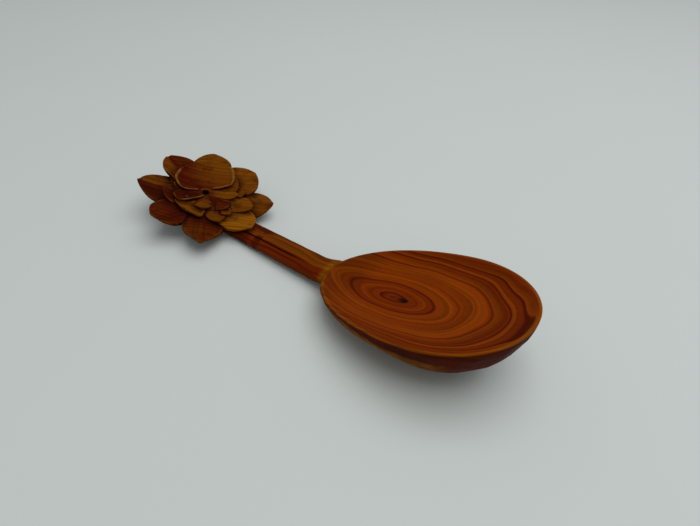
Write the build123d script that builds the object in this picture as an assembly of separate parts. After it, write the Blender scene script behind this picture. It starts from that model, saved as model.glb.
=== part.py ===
"""Carved wooden love spoon: an egg-shaped bowl, a faceted stem and a layered flower.

Millimetres, +Z up. X runs along the spoon from the flower to the bowl's tip, and Z = 0 is the surface
that the spoon lies on. The carving is divided where the carver cut: bowl, stem, flower seat and petals.
"""
import os
from math import cos, radians, sin

from build123d import *

# Bowl: lengths run along the rim from the neck, where the rim meets the stem
bowl_length = 100.0
bowl_width = 65.8
bowl_widest_at = 59.0
bowl_pitch = 15.3
neck_height = 12.0
rim_width = 1.8
hollow_depth = 8.6
hollow_lift = 4.0
foot_at = 54.0
foot_neck_reach = 12.0
foot_tip_reach = 10.4
foot_width = 16.0
foot_trim = 0.4
wall_curve = 1.4
neck_curve = 0.65
wall_turns = (0, 20, 40, 60, 78, 90)

# Stem: an eight-sided stick that runs down to the flower, each pair its size at the neck and at the flower
stem_top_drop = 0.5
stem_fall = 7.0
stem_drift = 6.2
stem_depth = (8.4, 4.2)
stem_top_near = (0.4, 1.0)
stem_top_far = (6.8, 6.4)
stem_side_near = (5.0, 6.8)
stem_side_far = (7.2, 6.8)
stem_foot_near = (3.4, 6.2)
stem_foot_far = (3.4, 3.4)
stem_shoulder_drop = (2.8, 1.5)
stem_keel_rise = (1.2, 0.6)
flare_start = 9.0
flare_spread = 2.3
flare_low_share = 0.3
flare_run_in = 6.0
flare_lift = 1.6
flare_shares = (0, 0.35, 0.6, 0.8, 1)

# Flower: set on the stem's end and pitched up towards the outer end
flower_from_neck = 87.2
flower_side = 5.2
flower_mouth_height = 17.0
flower_pitch = 12.4
hole_diameter = 3.0
seat_radius = 13.0
seat_foot_radius = 8.5
core_radius = 9.0
bud_radius = 3.8
bud_lip = 0.3

# Tiers: heights are square to the flower, above (positive) or below the hole's mouth
outer_root_top = -2.5
outer_root_thickness = 8.0
outer_tip_top = -0.9
outer_tip_thickness = 1.4
outer_sag = 0.5
core_top = -1.5
middle_root_top = -0.2
middle_tip_top = 0.3
middle_tip_thickness = 1.4
middle_sag = 0.4
inner_root_top = -0.2
inner_tip_top = 1.9
inner_tip_thickness = 1.2
inner_sag = 0.6

# Petal outline: shares of the half width, and of the reach, for a pointed and for a blunt petal
petal_root_share = 0.6
petal_swell = 1.25
pointed_shoulder_at = 0.78
pointed_shoulder = 0.75
blunt_shoulder_at = 1.0
blunt_shoulder = 1.25

# Petals of each tier: azimuth from +X, reach, half width, and bluntness from 0 pointed to 1 round
outer_petals = [
    (212.5, 36.0, 11.2, 0.50),
    (257.5, 32.5, 10.2, 0.80),
    (311.0, 36.5, 11.4, 0.25),
    (358.0, 34.8, 10.2, 0.70),
    (36.0, 37.3, 11.8, 0.50),
    (79.0, 34.1, 12.0, 0.70),
    (127.0, 34.3, 12.0, 0.75),
    (171.0, 36.4, 10.9, 0.25),
]
middle_petals = [
    (218.0, 22.9, 8.0, 0.70),
    (281.0, 18.8, 9.5, 0.95),
    (333.0, 23.3, 6.0, 0.20),
    (352.0, 20.2, 3.5, 0.30),
    (19.0, 25.8, 7.0, 0.60),
    (50.0, 22.3, 5.5, 0.50),
    (100.0, 24.8, 11.0, 0.85),
    (147.0, 24.4, 9.5, 0.85),
    (184.0, 23.0, 7.0, 0.70),
]
inner_petals = [
    (122.0, 23.4, 15.0, 1.00),
    (190.0, 18.4, 6.0, 0.80),
    (243.0, 13.6, 6.0, 0.80),
    (308.0, 13.8, 5.0, 0.95),
    (352.0, 16.5, 5.0, 0.70),
    (29.0, 17.0, 4.0, 0.90),
    (58.0, 18.2, 4.4, 0.70),
]

full_turn = 360
half_turn = 180
quarter_turn = 90
half_bowl_width = bowl_width / 2
bowl_tip_reach = bowl_length - bowl_widest_at
rim_plane = Plane(
    origin=(0, 0, neck_height),
    x_dir=(cos(radians(bowl_pitch)), 0, sin(radians(bowl_pitch))),
    z_dir=(-sin(radians(bowl_pitch)), 0, cos(radians(bowl_pitch))),
)
stem_top = neck_height - stem_top_drop
flower_place = Pos(-flower_from_neck, flower_side, flower_mouth_height) * Rot(0, flower_pitch, 0)


def between(start, end, share):
    """The value that lies the given share of the way from start to end."""
    return start + (end - start) * share


def egg(plane, neck_reach, tip_reach, half_width):
    """Egg-shaped face on a plane: two half ellipses that share the widest line."""
    tip_half = EllipticalCenterArc((0, 0), tip_reach, half_width, -quarter_turn, arc_size=half_turn)
    neck_half = EllipticalCenterArc((0, 0), neck_reach, half_width, quarter_turn, arc_size=half_turn)
    return plane * make_face([tip_half, neck_half])


def bowl_outside():
    """The bowl before it is hollowed: eggs that sink and level out from the rim to the foot, trimmed flat."""
    rim_centre = rim_plane.from_local_coords((bowl_widest_at, 0, 0))
    sections = []
    for turn in wall_turns:
        sunk = sin(radians(turn))
        left_over = cos(radians(turn)) if turn < quarter_turn else 0
        spread = left_over**wall_curve
        neck_spread = left_over**neck_curve
        tilt = radians(bowl_pitch * (1 - sunk))
        plane = Plane(
            origin=(between(rim_centre.X, foot_at, sunk), 0, between(rim_centre.Z, -foot_trim, sunk)),
            x_dir=(cos(tilt), 0, sin(tilt)),
            z_dir=(-sin(tilt), 0, cos(tilt)),
        )
        neck_reach = between(foot_neck_reach, bowl_widest_at, neck_spread)
        tip_reach = between(foot_tip_reach, bowl_tip_reach, spread)
        half_width = between(foot_width / 2, half_bowl_width, spread)
        sections.append(egg(plane, neck_reach, tip_reach, half_width))
    return split(loft(sections), Plane.XY, keep=Keep.TOP)


def bowl_hollow():
    """The dish that is cut out of the bowl: the caps of two half ellipsoids that share the widest line."""
    from_centre = hollow_depth + hollow_lift
    swell = 1 / (1 - (hollow_lift / from_centre) ** 2) ** 0.5
    half_width = (half_bowl_width - rim_width) * swell
    tip_reach = (bowl_tip_reach - rim_width) * swell
    neck_reach = (bowl_widest_at - rim_width) * swell
    ball = Sphere(1)
    tip_half = scale(split(ball, Plane.YZ, keep=Keep.TOP), (tip_reach, half_width, from_centre))
    neck_half = scale(split(ball, Plane.YZ, keep=Keep.BOTTOM), (neck_reach, half_width, from_centre))
    return rim_plane * Pos(bowl_widest_at, 0, hollow_lift) * (tip_half + neck_half)


def stem_section(x, spread, lift):
    """The stem's eight-sided section at x, its shoulders spread by a factor and its underside lifted."""
    along = max(0, -x / flower_from_neck)
    axis = stem_drift * along
    top = stem_top - stem_fall * along
    bottom = top - between(*stem_depth, along) + lift
    shoulder = top - between(*stem_shoulder_drop, along)
    keel = bottom + between(*stem_keel_rise, along)
    low_spread = between(1, spread, flare_low_share)
    corners = [
        (-between(*stem_top_near, along) * spread, top),
        (between(*stem_top_far, along) * spread, top),
        (between(*stem_side_far, along) * spread, shoulder),
        (between(*stem_side_far, along) * low_spread, keel),
        (between(*stem_foot_far, along) * low_spread, bottom),
        (-between(*stem_foot_near, along) * low_spread, bottom),
        (-between(*stem_side_near, along) * low_spread, keel),
        (-between(*stem_side_near, along) * spread, shoulder),
    ]
    return make_face(Polyline(*[(x, axis + y, z) for y, z in corners], close=True))


def stem_stick():
    """The stem from the flower's middle to inside the bowl, flared at the neck."""
    sections = [stem_section(-flower_from_neck, 1, 0)]
    for share in flare_shares:
        x = between(-flare_start, flare_run_in, share)
        sections.append(stem_section(x, between(1, flare_spread, share * share), flare_lift * share))
    return loft(sections, ruled=True)


def ring(points):
    """A solid turned about the flower's axis from a closed outline of radius and height."""
    return revolve(Plane.XZ * make_face(points), Axis.Z)


def bent_line(start, end, sag):
    """A shallow arc between two points, sagging below the straight line by the given amount."""
    middle = ((start[0] + end[0]) / 2, (start[1] + end[1]) / 2 - sag)
    return ThreePointArc(start, middle, end)


def tier_slab(underside, root_top, tip_top, sag):
    """The disc that a tier of petals is cut from: its underside, given as edges from the tip to the root,
    and a hollowed top."""
    bottom_tip = underside[0] @ 0
    bottom_root = underside[-1] @ 1
    top_root = (bottom_root.X, root_top)
    top_tip = (bottom_tip.X, tip_top)
    top = bent_line(top_root, top_tip, sag)
    return ring(underside + [Line(bottom_root, top_root), top, Line(top_tip, bottom_tip)])


def petal_outline(reach, half_width, blunt):
    """A petal's outline along +X, from the flower's centre to its tip."""
    root = petal_root_share * half_width
    swell = petal_swell * half_width
    shoulder_at = reach * between(pointed_shoulder_at, blunt_shoulder_at, blunt)
    shoulder = half_width * between(pointed_shoulder, blunt_shoulder, blunt)
    left = Bezier((0, root), (reach / 2, swell), (shoulder_at, shoulder), (reach, 0))
    right = Bezier((reach, 0), (shoulder_at, -shoulder), (reach / 2, -swell), (0, -root))
    return make_face([left, right, Line((0, -root), (0, root))])


def wedge(start, end, size):
    """The triangle between two azimuths, out to well past the petals."""
    first = (size * cos(radians(start)), size * sin(radians(start)))
    last = (size * cos(radians(end)), size * sin(radians(end)))
    return make_face(Polyline((0, 0), first, last, close=True))


def longest(petals):
    """The longest reach in a tier."""
    return max(petal[1] for petal in petals)


def tier(petals, slab):
    """One solid for each petal of a tier, parted from its neighbours halfway between them."""
    order = sorted(range(len(petals)), key=lambda index: petals[index][0])
    reach_limit = 2 * longest(petals)
    solids = {}
    for place, index in enumerate(order):
        azimuth, reach, half_width, blunt = petals[index]
        before = petals[order[place - 1]][0] - (full_turn if place == 0 else 0)
        is_last = place == len(order) - 1
        after = petals[order[0 if is_last else place + 1]][0] + (full_turn if is_last else 0)
        room = wedge((before + azimuth) / 2, (azimuth + after) / 2, reach_limit)
        shape = Rot(0, 0, azimuth) * petal_outline(reach, half_width, blunt) & room
        prism = extrude(shape, flower_mouth_height, both=True)
        solids[index] = flower_place * (prism & slab).solid()
    return [solids[index] for index in range(len(petals))]


seat_shoulder = outer_root_top - outer_root_thickness
well_below = -2 * flower_mouth_height
hole = Pos(-flower_from_neck, flower_side, 0) * Cylinder(hole_diameter / 2, -2 * well_below)
seat_blank = flower_place * ring(
    Polyline(
        (0, core_top),
        (core_radius, core_top),
        (core_radius, outer_root_top),
        (seat_radius, outer_root_top),
        (seat_radius, seat_shoulder),
        (seat_foot_radius, well_below),
        (0, well_below),
        close=True,
    )
)
seat_blank = split(seat_blank, Plane.XY, keep=Keep.TOP)
bud_blank = flower_place * ring(
    Polyline(
        (0, core_top),
        (bud_radius, core_top),
        (bud_radius, inner_root_top),
        (bud_radius - bud_lip, 0),
        (0, 0),
        close=True,
    )
)

outer_tip = (longest(outer_petals), outer_tip_top - outer_tip_thickness)
outer_underside = [bent_line(outer_tip, (seat_radius, seat_shoulder), outer_sag)]
outer_slab = tier_slab(outer_underside, outer_root_top, outer_tip_top, outer_sag)
middle_tip = (longest(middle_petals), middle_tip_top - middle_tip_thickness)
middle_underside = [
    Line(middle_tip, (seat_radius, outer_root_top)),
    Line((seat_radius, outer_root_top), (core_radius, outer_root_top)),
]
middle_slab = tier_slab(middle_underside, middle_root_top, middle_tip_top, middle_sag)
inner_tip = (longest(inner_petals), inner_tip_top - inner_tip_thickness)
inner_underside = [
    Line(inner_tip, (core_radius, middle_root_top)),
    Line((core_radius, middle_root_top), (core_radius, core_top)),
    Line((core_radius, core_top), (bud_radius, core_top)),
]
inner_slab = tier_slab(inner_underside, inner_root_top, inner_tip_top, inner_sag)
# Whatever stands above the undersides of the outer petals is cleared from the stem's end
stem_clearing = tier_slab(outer_underside, flower_mouth_height, flower_mouth_height, outer_sag)

bowl_blank = bowl_outside()
nodes = {"bowl": bowl_blank - bowl_hollow(), "flower_seat": seat_blank - hole, "flower_bud": bud_blank - hole}
nodes["stem"] = stem_stick() - bowl_blank - seat_blank - tier(outer_petals, stem_clearing)
for tier_name, solids in (
    ("outer", tier(outer_petals, outer_slab)),
    ("middle", tier(middle_petals, middle_slab)),
    ("inner", tier(inner_petals, inner_slab)),
):
    for number, solid in enumerate(solids, 1):
        nodes[f"{tier_name}_petal_{number}"] = solid

# The origin is under the middle of the whole spoon, on the surface it lies on
whole = Compound(children=[solid.solid() for solid in nodes.values()]).bounding_box()
to_origin = Pos(-whole.center().X, -whole.center().Y, 0)
os.makedirs("parts", exist_ok=True)
for name, solid in nodes.items():
    export_step(to_origin * solid.solid(), f"parts/{name}.step")
print("overall size", whole.size, "shift", to_origin.position)
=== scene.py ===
"""Carved love spoon: the finish of its bowl, stem and flower, with a studio floor, light and camera.

Metres, in the same frame as the solids: X along the spoon from the flower to the bowl's tip, Z up, and
the spoon lying on Z = 0.
"""
from math import cos, pi, radians, sin, tan
from random import Random

import bpy
from bpy.props import FloatProperty, FloatVectorProperty, IntProperty, PointerProperty
from mathutils import Matrix, Quaternion, Vector, noise
from mathutils.bvhtree import BVHTree


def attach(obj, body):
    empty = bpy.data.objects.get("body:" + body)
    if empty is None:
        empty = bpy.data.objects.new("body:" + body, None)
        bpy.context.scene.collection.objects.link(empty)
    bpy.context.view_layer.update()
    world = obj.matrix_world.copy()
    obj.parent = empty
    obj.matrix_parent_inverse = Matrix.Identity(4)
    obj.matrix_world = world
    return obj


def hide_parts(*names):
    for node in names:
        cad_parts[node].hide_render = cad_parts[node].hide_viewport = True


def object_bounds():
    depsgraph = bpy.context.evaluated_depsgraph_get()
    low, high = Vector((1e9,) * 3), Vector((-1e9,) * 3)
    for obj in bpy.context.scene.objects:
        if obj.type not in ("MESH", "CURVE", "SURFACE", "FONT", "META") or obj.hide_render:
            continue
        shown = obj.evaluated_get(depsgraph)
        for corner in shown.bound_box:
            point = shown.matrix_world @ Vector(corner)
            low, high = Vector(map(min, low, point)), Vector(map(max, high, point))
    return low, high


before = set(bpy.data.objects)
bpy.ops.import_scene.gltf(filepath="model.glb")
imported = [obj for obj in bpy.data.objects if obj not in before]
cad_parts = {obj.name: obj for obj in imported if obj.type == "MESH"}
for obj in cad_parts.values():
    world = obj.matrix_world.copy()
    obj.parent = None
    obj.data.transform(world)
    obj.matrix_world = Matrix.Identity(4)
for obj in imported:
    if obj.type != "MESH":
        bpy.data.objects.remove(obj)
CAD_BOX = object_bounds()

bl_info = {
    "name": "Carved Love Spoon",
    "version": (1, 0, 0),
    "blender": (4, 5, 0),
    "location": "View3D > Sidebar > Love Spoon",
    "description": "Builds a carved wooden love spoon with a layered flower",
    "category": "Object",
}

MM = 0.001
BODY = "root"

# Sizes that fix where the bowl lies in the whole spoon's box, in millimetres and degrees
RIM_LENGTH = 100.0
RIM_BREADTH = 65.8
RIM_PITCH = 15.3

# The neck is where the bowl's rim meets the stem, and all places along the spoon start there
NECK_X = CAD_BOX[1][0] - RIM_LENGTH * cos(radians(RIM_PITCH)) * MM
NECK_Y = CAD_BOX[0][1] + RIM_BREADTH / 2 * MM


def length(name, millimetres, description):
    """A size that the user may change, given in millimetres and kept in metres."""
    return FloatProperty(
        name=name, description=description, default=millimetres * MM, unit="LENGTH", precision=5
    )


def pair(name, at_neck, at_flower, description):
    """Two sizes that the user may change: the stem's at the neck and at the flower, given in millimetres."""
    return FloatVectorProperty(
        name=name,
        description=f"{description}, at the neck and at the flower",
        default=(at_neck * MM, at_flower * MM),
        size=2,
        unit="LENGTH",
        precision=5,
    )


def location(name, default, description):
    """A place that the user may change, in metres."""
    return FloatVectorProperty(
        name=name, description=description, default=default, subtype="TRANSLATION", precision=5
    )


def angle(name, degrees, description):
    """An angle that the user may change, given in degrees."""
    return FloatProperty(name=name, description=description, default=radians(degrees), subtype="ANGLE")


def share(name, default, description):
    """A plain factor that the user may change."""
    return FloatProperty(name=name, description=description, default=default, subtype="FACTOR")


def colour(name, default, description):
    """A colour that the user may change, as scene linear red, green and blue."""
    return FloatVectorProperty(name=name, description=description, default=default, subtype="COLOR", size=3)


class SpoonBowlSettings(bpy.types.PropertyGroup):
    """Sizes of the bowl, measured along its rim from the neck."""

    rim_length: length("Length", RIM_LENGTH, "Length of the rim from the neck to the tip")
    rim_breadth: length("Breadth", RIM_BREADTH, "Breadth of the rim where it is widest")
    widest_at: length("Widest at", 59.0, "Distance from the neck to the widest line")
    pitch: angle("Pitch", RIM_PITCH, "Slope of the rim, up towards the tip")
    neck_height: length("Neck height", 12.0, "Height of the rim at the neck")
    rim_width: length("Rim width", 1.8, "Width of the flat rim")
    rim_crown: length("Rim crown", 0.35, "How far the rim's edges are worn down")
    hollow_depth: length("Hollow depth", 8.6, "Depth of the hollow below the rim")
    hollow_lift: length("Hollow lift", 4.0, "Height of the hollow's centre above the rim")
    foot_at: length("Foot at", 54.0, "Distance from the neck to the middle of the foot")
    foot_neck_reach: length("Foot neck reach", 12.0, "Reach of the foot towards the neck")
    foot_tip_reach: length("Foot tip reach", 10.4, "Reach of the foot towards the tip")
    foot_breadth: length("Foot breadth", 16.0, "Breadth of the foot")
    foot_trim: length("Foot trim", 0.4, "How much is cut off below to make the foot flat")
    wall_curve: share("Wall curve", 1.4, "Fullness of the wall at the sides and the tip")
    neck_curve: share("Neck curve", 0.78, "Fullness of the wall at the neck")
    facet_depth: length("Facet depth", 0.5, "Depth of the knife facets on the outside")
    facet_seed: IntProperty(name="Facet seed", description="Which scatter of facets is cut", default=5)


class SpoonStemSettings(bpy.types.PropertyGroup):
    """Sizes of the stem: an eight-sided stick that runs down to the flower."""

    top_drop: length("Top drop", 0.5, "How far the stem's top lies below the neck")
    fall: length("Fall", 7.0, "How far the stem runs down on its way to the flower")
    drift: length("Drift", 6.2, "How far the stem runs to the far side on its way to the flower")
    depth: pair("Depth", 8.4, 4.2, "Depth of the stem")
    top_near: pair("Top near", 0.4, 1.0, "Reach of the top face to the near side")
    top_far: pair("Top far", 6.7, 6.3, "Reach of the top face to the far side")
    side_near: pair("Side near", 5.0, 6.8, "Reach of the near side")
    side_far: pair("Side far", 7.1, 6.7, "Reach of the far side")
    foot_near: pair("Underside near", 3.4, 6.2, "Reach of the underside to the near side")
    foot_far: pair("Underside far", 3.4, 3.4, "Reach of the underside to the far side")
    shoulder_drop: pair("Shoulder drop", 2.8, 1.5, "Height of the slanting facets")
    keel_rise: pair("Keel rise", 1.2, 0.6, "Height of the lower chamfers")
    flare_start: length("Flare start", 9.0, "Where the stem starts to widen, before the neck")
    flare_spread: share("Flare spread", 1.9, "How much wider the shoulders are at the bowl")
    flare_low: share("Flare low share", 0.3, "Share of that widening at the underside")
    flare_lift: length("Flare lift", 2.8, "How far the underside rises towards the bowl")
    flare_run_in: length("Flare run in", 6.0, "How far inside the bowl the widening would end")
    run_in: length("Run in", 6.0, "How far the stem runs into the bowl's wall")
    run_in_dip: share("Run in dip", 0.2, "How steeply its top dips in there")
    edge_round: length("Edge round", 0.35, "Radius of the worn edges")
    groove_depth: length("Groove depth", 0.7, "Depth of the cut under the near top edge")
    wobble: length("Wobble", 0.3, "Unevenness left by the knife")
    wobble_seed: IntProperty(name="Wobble seed", description="Which unevenness is cut", default=3)


class SpoonFlowerSettings(bpy.types.PropertyGroup):
    """Sizes of the flower, with heights square to it from the mouth of the hole."""

    from_neck: length("From neck", 87.2, "Distance of the hole before the neck")
    side: length("Side", 5.2, "Distance of the hole to the far side of the bowl's middle line")
    mouth_height: length("Mouth height", 17.0, "Height of the hole's mouth")
    pitch: angle("Pitch", 12.4, "How far the flower leans towards the bowl")
    hole_radius: length("Hole radius", 1.5, "Radius of the drilled hole")
    bud_radius: length("Bud radius", 3.8, "Radius of the bud round the hole")
    core_radius: length("Core radius", 9.0, "Radius of the step under the inner petals")
    core_top: length("Core top", -1.5, "Height of that step")
    seat_radius: length("Seat radius", 13.0, "Radius of the seat under the outer petals")
    seat_top: length("Seat top", -2.5, "Height of the seat")
    seat_shoulder: length("Seat shoulder", -10.5, "Height where the seat starts to taper")
    seat_foot_radius: length("Seat foot radius", 8.5, "Radius that the seat tapers to, far below")
    seat_foot_drop: length("Seat foot drop", 34.0, "Depth at which it would reach that radius")
    facet_depth: length("Facet depth", 0.45, "Depth of the knife facets on the seat")
    # Reach of the painted shade in the creases between petals
    crease_shade_reach: length("Cut reach", 5.0, "How far from a cut between petals the wood is darkened")
    carving: length("Carving", 0.4, "Unevenness that the gouge left on the petals")


class SpoonWoodSettings(bpy.types.PropertyGroup):
    """Colours of the wood, from the light early growth to the dark ring lines, its painted highlight and
    shade, and its finish.
    """

    straw: colour("Straw", (0.208, 0.068, 0.0022), "Palest cuts of the flower, the rim and the low wall")
    honey: colour("Honey", (0.200, 0.036, 0.0014), "Lightest bands of the wood")
    amber: colour("Amber", (0.160, 0.0225, 0.0010), "Middle tone of the wood")
    russet: colour("Russet", (0.115, 0.0125, 0.0008), "Dark bands of the wood")
    ring_line: colour("Ring line", (0.062, 0.0060, 0.0008), "Dark lines at the end of a year's growth")
    tan: colour("Tan", (0.138, 0.031, 0.0012), "Stem's top")
    umber: colour("Umber", (0.112, 0.021, 0.0009), "Darker streaks of the stem's top")
    # Worn edge: colour of the painted highlight on the petals' raised lips
    worn_edge_and_lip_highlight: colour("Worn edge", (0.215, 0.085, 0.016), "Raised lip that handling has worn pale")
    neck_shade: colour("Neck shade", (0.55, 0.6, 0.6), "How much the bowl darkens towards the neck")
    # Cut line: dark tool streaks, and the painted shade in the creases between petals
    cut_line_and_crease_shade: colour("Cut line", (0.016, 0.0028, 0.0018), "Dark cuts between the petals")
    # Pith: the bowl's real pith, and also the painted shade in the stem's cut and in the flower's hole
    pith: colour("Pith", (0.008, 0.0035, 0.0030), "The pith and other near black marks")
    gloss: share("Gloss", 0.02, "Strength of the oiled surface's reflection")
    gloss_tint: colour("Gloss tint", (1.0, 0.4, 0.12), "Warmth of that reflection")
    shade: share("Shade", 0.34, "Value of the wood where it is darkest between the rings")
    growth: share("Growth", 0.62, "How much the fine growth lightens it")
    fibres: share("Fibres", 0.36, "How much the fibres lighten it")
    patches: share("Patches", 0.32, "How much the cloudy patches lighten it")
    roughness: share("Roughness", 0.42, "Roughness of the oiled surface")
    relief: share("Relief", 0.16, "Strength of the fine relief of fibres and tool marks")
    relief_depth: length("Relief depth", 0.3, "Depth of that relief")


class SpoonStageSettings(bpy.types.PropertyGroup):
    """Floor, light and camera."""

    floor_colour: colour("Floor", (0.585, 0.625, 0.61), "Pale floor")
    floor_half: length("Floor half", 4000.0, "Half the floor's side")
    lamp_place: location("Lamp place", (0.24, 0.14, 1.10), "Centre of the soft lamp")
    lamp_side: length("Lamp side", 1150.0, "Side of the soft lamp")
    lamp_power: FloatProperty(
        name="Lamp power", description="Power of the soft lamp", default=9.5, unit="POWER"
    )
    sky: share("Sky", 0.36, "Strength of the even light from all round")
    camera_place: location("Camera place", (0.11921, -0.15515, 0.18303), "Where the camera stands")
    camera_aim: location("Camera aim", (0.01164, 0.01822, 0.0), "Point on the floor at the picture's middle")
    camera_roll: angle("Camera roll", 3.72, "Turn of the camera about its line of sight")
    lens: FloatProperty(name="Lens", description="Focal length", default=27.0, unit="CAMERA")


class Wire:
    """An output socket whose arithmetic adds Math nodes to its tree."""

    def __init__(self, bench, socket):
        self.bench = bench
        self.socket = socket

    def math(self, operation, *others):
        return self.bench.math(operation, self, *others)

    def __add__(self, other):
        return self.math("ADD", other)

    def __sub__(self, other):
        return self.math("SUBTRACT", other)

    def __mul__(self, other):
        return self.math("MULTIPLY", other)

    def __truediv__(self, other):
        return self.math("DIVIDE", other)

    def __pow__(self, other):
        return self.math("POWER", other)

    def __neg__(self):
        return self.math("MULTIPLY", -1.0)

    def __rsub__(self, other):
        return self.bench.math("SUBTRACT", other, self)

    def __rtruediv__(self, other):
        return self.bench.math("DIVIDE", other, self)

    __radd__ = __add__
    __rmul__ = __mul__


class Bench:
    """Adds nodes to one tree, sets them and joins them."""

    def __init__(self, tree):
        self.tree = tree

    def node(self, kind, settings=None, inputs=(), output=0):
        """Any node: its type, its settings, its sockets' values or wires, and the output to go on from."""
        made = self.tree.nodes.new(kind)
        for name, value in (settings or {}).items():
            if name == "stops":
                self.paint_ramp(made.color_ramp, value)
            else:
                setattr(made, name, value)
        pairs = inputs.items() if isinstance(inputs, dict) else enumerate(inputs)
        for key, value in pairs:
            if isinstance(value, Wire):
                self.tree.links.new(value.socket, made.inputs[key])
            else:
                made.inputs[key].default_value = value
        return Wire(self, made.outputs[output]) if made.outputs else None

    @staticmethod
    def paint_ramp(ramp, stops):
        """Sets a colour ramp's stops from pairs of position and colour."""
        while len(ramp.elements) > 1:
            ramp.elements.remove(ramp.elements[-1])
        ramp.elements[0].position, ramp.elements[0].color = stops[0]
        for position, tone in stops[1:]:
            ramp.elements.new(position).color = tone

    def math(self, operation, *values):
        return self.node("ShaderNodeMath", {"operation": operation}, values)

    def vector(self, operation, *values):
        return self.node("ShaderNodeVectorMath", {"operation": operation}, values)

    def scaled(self, vector, factor):
        """A vector or a colour times a number."""
        return self.node("ShaderNodeVectorMath", {"operation": "SCALE"}, {0: vector, "Scale": factor})

    def axes(self, vector):
        """The three parts of a vector."""
        split = self.node("ShaderNodeSeparateXYZ", None, (vector,))
        return tuple(Wire(self, socket) for socket in split.socket.node.outputs)

    def combine(self, x, y, z):
        return self.node("ShaderNodeCombineXYZ", None, (x, y, z))

    def smooth(self, value, low, high):
        """0 below low, 1 above high, and a smooth rise between."""
        settings = {"interpolation_type": "SMOOTHSTEP", "clamp": True}
        return self.node("ShaderNodeMapRange", settings, {"Value": value, "From Min": low, "From Max": high})

    def blend(self, factor, first, second, mode="MIX"):
        """Mixes two colours, each of them a wire or three numbers."""
        first, second = (tone if isinstance(tone, Wire) else opaque(tone) for tone in (first, second))
        settings = {"data_type": "RGBA", "blend_type": mode}
        return self.node("ShaderNodeMix", settings, {0: factor, 6: first, 7: second}, output=2)

    def cloud(self, vector, scale, detail=2.0, output=0):
        """Soft noise of the given scale."""
        sockets = {"Vector": vector, "Scale": scale, "Detail": detail}
        return self.node("ShaderNodeTexNoise", {"noise_dimensions": "3D"}, sockets, output)

    def mark(self, name):
        """The number that a mesh's points carry under this name."""
        return self.node("ShaderNodeAttribute", {"attribute_name": name}, output="Fac")


def opaque(tone):
    """A colour with full alpha, as node sockets take it."""
    return (*tone, 1.0)


def cleared(owner):
    """A bench on the emptied node tree of a material or a world."""
    owner.use_nodes = True
    owner.node_tree.nodes.clear()
    return Bench(owner.node_tree)


def from_neck(place):
    """A place given in millimetres from the neck, in millimetres from the origin."""
    return (place[0] + NECK_X / MM, place[1] + NECK_Y / MM, place[2])


# Unevenness of all the wood: scales are per millimetre, and the noise is drawn out along the grain
RING_DRIFT = 4.0
RING_DRIFT_SCALE = 0.035
GROWTH_SCALE = 0.9
GROWTH_SCALE_ALONG = 0.008
GROWTH_EDGES = (0.34, 0.66)
FIBRE_SCALE_ALONG = 0.05
FIBRE_ROUGHNESS = 0.2
PATCH_SCALE = 0.05
TOOL_MARK_SCALE = 0.45
TOOL_MARK_SHARE = 0.65


def wood_material(name, pith_place, slopes, rings, stain_and_light, squeeze=1.0, bend=0.0):
    """Ringed wood about a pith line.

    pith_place is a point of that line in millimetres from the neck, slopes its rise in Y and Z along X,
    rings the ramp's stops as radius in millimetres and colour, squeeze how flat the rings are, and bend
    the line's curve. stain takes the bench, the millimetre coordinates and the colour so far, and returns
    a colour with its stains and painted light and shade laid on.
    """
    settings = bpy.context.scene.spoon_wood
    material = bpy.data.materials.new(name)
    bench = cleared(material)
    place = bench.scaled(bench.node("ShaderNodeTexCoord", output="Object"), 1 / MM)

    # Rings: distance from the pith line, pushed about by slow noise
    slow = bench.cloud(place, RING_DRIFT_SCALE, 1.0, output="Color")
    drift = bench.scaled(bench.vector("SUBTRACT", slow, (0.5, 0.5, 0.5)), RING_DRIFT)
    drifted = bench.vector("ADD", place, drift)
    x, y, z = bench.axes(bench.vector("SUBTRACT", drifted, from_neck(pith_place)))
    across = y - x * slopes[0]
    height = (z - x * slopes[1] - x * x * (bend / 100)) * squeeze
    radius = (across * across + height * height).math("SQRT")
    last = rings[-1][0]
    stops = [(at / last, opaque(getattr(settings, tone))) for at, tone in rings]
    tone = bench.node("ShaderNodeValToRGB", {"stops": stops}, (radius / last,))
    tone = stain_and_light(bench, place, tone)

    # Uneven fine growth between the main rings, fibres along the grain, and cloudy patches
    growth_at = bench.combine(radius * GROWTH_SCALE, x * GROWTH_SCALE_ALONG, 0.0)
    growth = bench.smooth(bench.cloud(growth_at, 1.0, 6.0), *GROWTH_EDGES)
    fibre = bench.cloud(bench.combine(x * FIBRE_SCALE_ALONG, across, height), 1.0, 4.0)
    patch = bench.cloud(place, PATCH_SCALE)
    value = settings.shade + growth * settings.growth + fibre * settings.fibres + patch * settings.patches

    tool_marks = bench.cloud(place, TOOL_MARK_SCALE)
    relief = fibre * (1 - TOOL_MARK_SHARE) + tool_marks * TOOL_MARK_SHARE
    bump = bench.node(
        "ShaderNodeBump",
        None,
        {"Strength": settings.relief, "Distance": settings.relief_depth, "Height": relief},
    )
    surface = bench.node(
        "ShaderNodeBsdfPrincipled",
        None,
        {
            "Base Color": bench.scaled(tone, value),
            "Roughness": settings.roughness + fibre * FIBRE_ROUGHNESS,
            "Normal": bump,
            "Specular IOR Level": settings.gloss,
            "Specular Tint": opaque(settings.gloss_tint),
        },
    )
    bench.node("ShaderNodeOutputMaterial", None, {"Surface": surface})
    return material


def add_piece(name, mesh, sharp_angle):
    """An object with this mesh, smooth but for its sharp edges."""
    mesh.shade_smooth()
    mesh.set_sharp_from_angle(angle=sharp_angle)
    piece = bpy.data.objects.new(name, mesh)
    bpy.context.scene.collection.objects.link(piece)
    return piece


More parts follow.
